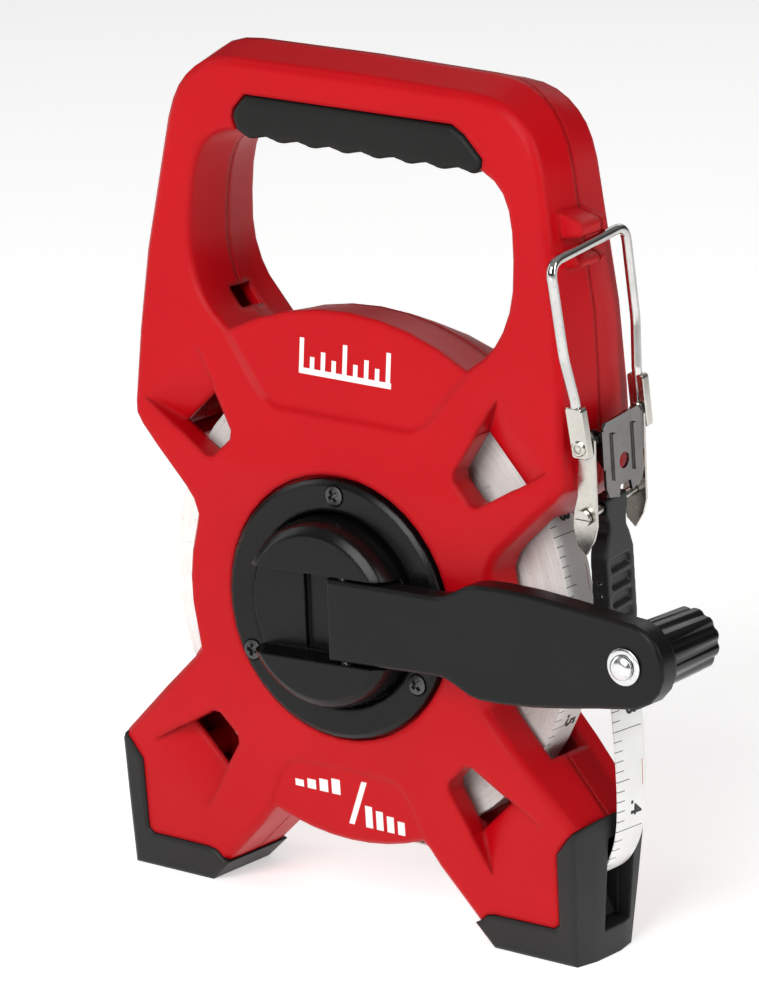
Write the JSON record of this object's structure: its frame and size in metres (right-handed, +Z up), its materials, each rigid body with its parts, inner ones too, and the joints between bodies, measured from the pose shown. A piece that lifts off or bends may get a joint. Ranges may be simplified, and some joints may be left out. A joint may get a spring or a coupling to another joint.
{
  "type": "surveyor tape reel",
  "caption": "Open-frame long measuring tape reel with a folding crank, planetary winding gear, parked end hook and rubber feet.",
  "frame": {"origin": "on the floor under the feet, at the centre of the whole box with the crank stowed and the hook parked", "axes": "+Z up through the handle, +X towards the tape mouth and the stowed crank knob, +Y from the crank side to the back"},
  "size_m": [0.2112, 0.0598, 0.2636],
  "materials": {
    "red_case": "satin, fine moulded texture",
    "black_rubber": "matt overmoulded rubber",
    "black_nylon": "satin, glass filled",
    "black_knob": "semi-gloss, fluted",
    "dark_steel": "blackened",
    "nickel_steel": "nickel plated",
    "natural_acetal": "as moulded",
    "white_tape": "satin coated glass fibre"
  },
  "bodies": {
    "case": {"front_shell": "red_case", "back_shell": "red_case", "grip": "black_rubber", "foot_cap_right": "black_rubber", "foot_cap_left": "black_rubber", "case_screw_1": "dark_steel", "case_screw_2": "dark_steel", "case_screw_3": "dark_steel", "case_screw_4": "dark_steel", "case_screw_5": "dark_steel", "case_screw_6": "dark_steel", "hub_cover": "black_nylon", "cover_screw_1": "dark_steel", "cover_screw_2": "dark_steel", "cover_screw_3": "dark_steel", "rear_cap": "black_nylon", "spindle": "nickel_steel", "ring_gear": "natural_acetal", "tape_lead": "white_tape", "tape_end_sleeve": "black_rubber", "hook_plate_front": "nickel_steel", "hook_plate_back": "nickel_steel", "hook_rivet": "nickel_steel", "hook_leaf": "nickel_steel"},
    "crank": {"crank_hub": "black_nylon", "planet_carrier": "dark_steel", "planet_pin_1": "nickel_steel", "planet_pin_2": "nickel_steel", "planet_pin_3": "nickel_steel", "fold_pin": "nickel_steel"},
    "planet_1": {"planet_gear_1": "natural_acetal"},
    "planet_2": {"planet_gear_2": "natural_acetal"},
    "planet_3": {"planet_gear_3": "natural_acetal"},
    "spool": {"sun_gear": "natural_acetal", "spool_drum": "natural_acetal", "tape_roll": "white_tape"},
    "arm": {"crank_arm": "black_nylon", "knob_washer": "nickel_steel", "knob_bolt": "nickel_steel"},
    "knob": {"crank_knob": "black_knob"},
    "bail": {"hook_bail": "nickel_steel"}
  },
  "joints": [
    {"name": "crank_spin", "type": "hinge", "parent": "case", "child": "crank", "pos_m": [-0.01922, -0.015, 0.098], "axis": [0, -1, 0], "range_deg": [-20, 12]},
    {"name": "spool_spin", "type": "hinge", "parent": "case", "child": "spool", "pos_m": [-0.01922, 0.007, 0.098], "axis": [0, -1, 0], "range_deg": [-60, 36]},
    {"name": "planet_spin_1", "type": "hinge", "parent": "crank", "child": "planet_1", "pos_m": [-0.02028, -0.0047, 0.12047], "axis": [0, -1, 0], "range_deg": [-48, 80]},
    {"name": "planet_spin_2", "type": "hinge", "parent": "crank", "child": "planet_2", "pos_m": [-0.03815, -0.0047, 0.08585], "axis": [0, -1, 0], "range_deg": [-48, 80]},
    {"name": "planet_spin_3", "type": "hinge", "parent": "crank", "child": "planet_3", "pos_m": [0.00077, -0.0047, 0.08768], "axis": [0, -1, 0], "range_deg": [-48, 80]},
    {"name": "crank_fold", "type": "hinge", "parent": "crank", "child": "arm", "pos_m": [-0.01023, -0.0222, 0.09842], "axis": [0.0471, 0, -0.9989], "range_deg": [0, 180]},
    {"name": "knob_spin", "type": "hinge", "parent": "arm", "child": "knob", "pos_m": [0.09266, -0.0222, 0.10328], "axis": [0, 1, 0], "continuous": true},
    {"name": "bail_swing", "type": "hinge", "parent": "case", "child": "bail", "pos_m": [0.06508, 0.00648, 0.16211], "axis": [0, 0.9934, 0.1149], "range_deg": [0, 115]}
  ],
  "couplings": [
    {"joint": "spool_spin", "follows": "crank_spin", "ratio": 3},
    {"joint": "planet_spin_1", "follows": "crank_spin", "ratio": -4},
    {"joint": "planet_spin_2", "follows": "crank_spin", "ratio": -4},
    {"joint": "planet_spin_3", "follows": "crank_spin", "ratio": -4}
  ]
}
